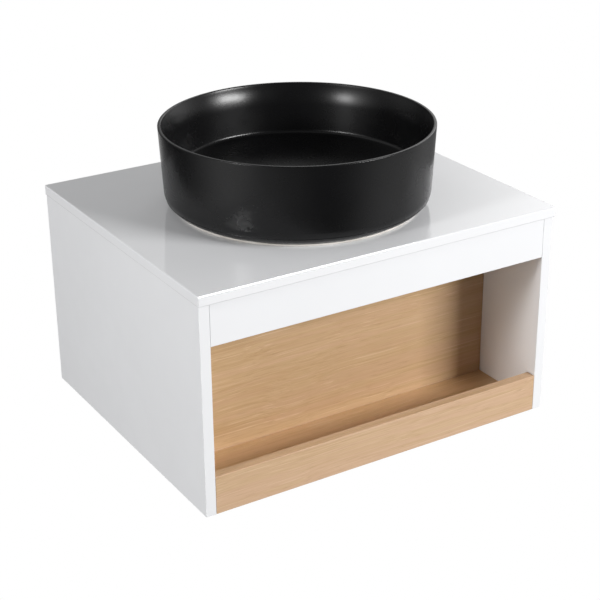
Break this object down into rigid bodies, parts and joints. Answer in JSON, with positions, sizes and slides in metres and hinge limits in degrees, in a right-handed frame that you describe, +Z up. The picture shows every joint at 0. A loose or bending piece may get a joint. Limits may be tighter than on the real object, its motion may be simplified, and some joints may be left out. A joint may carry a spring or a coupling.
{
  "type": "vessel sink on vanity",
  "caption": "Wall-hung bathroom vanity with a gloss white top and sides, an open oak-lined niche, and a round matte black vessel basin with a pop-up waste.",
  "frame": {"origin": "on the wall plane, at the centre of the back face of the rail that the cabinet hangs by", "axes": "+X to the right seen from the front, +Y towards the wall, +Z up; the front faces -Y"},
  "size_m": [0.6, 0.502, 0.4611],
  "materials": {
    "white_lacquer": "gloss white lacquer on fibreboard",
    "gloss_top": "mirror-gloss white lacquer on fibreboard",
    "oak_veneer": "matte natural oak veneer, grain lengthways",
    "black_ceramic": "satin matte black glaze, foot ring unglazed",
    "black_metal": "matte black plated brass",
    "brass": "turned brass",
    "zinc_steel": "bright zinc plate",
    "rubber": "matte black rubber",
    "hanger_plastic": "moulded light grey plastic",
    "beech": "bare beech"
  },
  "bodies": {
    "vanity": {"vanity_top": "gloss_top", "left_side_panel": "white_lacquer", "right_side_panel": "white_lacquer", "front_apron": "white_lacquer", "front_lip": "oak_veneer", "niche_back_panel": "oak_veneer", "niche_shelf": "oak_veneer", "rear_top_rail": "white_lacquer", "rear_bottom_rail": "white_lacquer", "basin": "black_ceramic", "waste_body": "black_metal", "waste_cartridge": "brass", "waste_upper_gasket": "rubber", "waste_lower_gasket": "rubber", "waste_slip_washer": "hanger_plastic", "waste_backnut": "brass", "left_hanger_case": "hanger_plastic", "left_hanger_hook": "zinc_steel", "left_hanger_height_screw": "zinc_steel", "left_hanger_depth_screw": "zinc_steel", "left_wall_plate": "zinc_steel", "right_hanger_case": "hanger_plastic", "right_hanger_hook": "zinc_steel", "right_hanger_height_screw": "zinc_steel", "right_hanger_depth_screw": "zinc_steel", "right_wall_plate": "zinc_steel", "shelf_cam_lock_left": "zinc_steel", "shelf_cam_lock_right": "zinc_steel", "shelf_cam_bolt_left": "zinc_steel", "shelf_cam_bolt_right": "zinc_steel", "top_rail_cam_lock_left": "zinc_steel", "top_rail_cam_lock_right": "zinc_steel", "top_rail_cam_bolt_left": "zinc_steel", "top_rail_cam_bolt_right": "zinc_steel", "bottom_rail_cam_lock_left": "zinc_steel", "bottom_rail_cam_lock_right": "zinc_steel", "bottom_rail_cam_bolt_left": "zinc_steel", "bottom_rail_cam_bolt_right": "zinc_steel", "apron_dowel_left_lower": "beech", "apron_dowel_left_upper": "beech", "apron_dowel_right_lower": "beech", "apron_dowel_right_upper": "beech", "lip_dowel_left_lower": "beech", "lip_dowel_left_upper": "beech", "lip_dowel_right_lower": "beech", "lip_dowel_right_upper": "beech", "niche_back_dowel_left_lower": "beech", "niche_back_dowel_left_upper": "beech", "niche_back_dowel_right_lower": "beech", "niche_back_dowel_right_upper": "beech", "top_dowel_left_front": "beech", "top_dowel_left_rear": "beech", "top_dowel_right_front": "beech", "top_dowel_right_rear": "beech"},
    "plug": {"waste_plug": "black_metal", "plug_seal": "rubber", "plug_plunger": "brass"}
  },
  "joints": [
    {"name": "plug_lift", "type": "slide", "parent": "vanity", "child": "plug", "axis": [0, 0, 1], "range_m": [0, 0.009]}
  ]
}
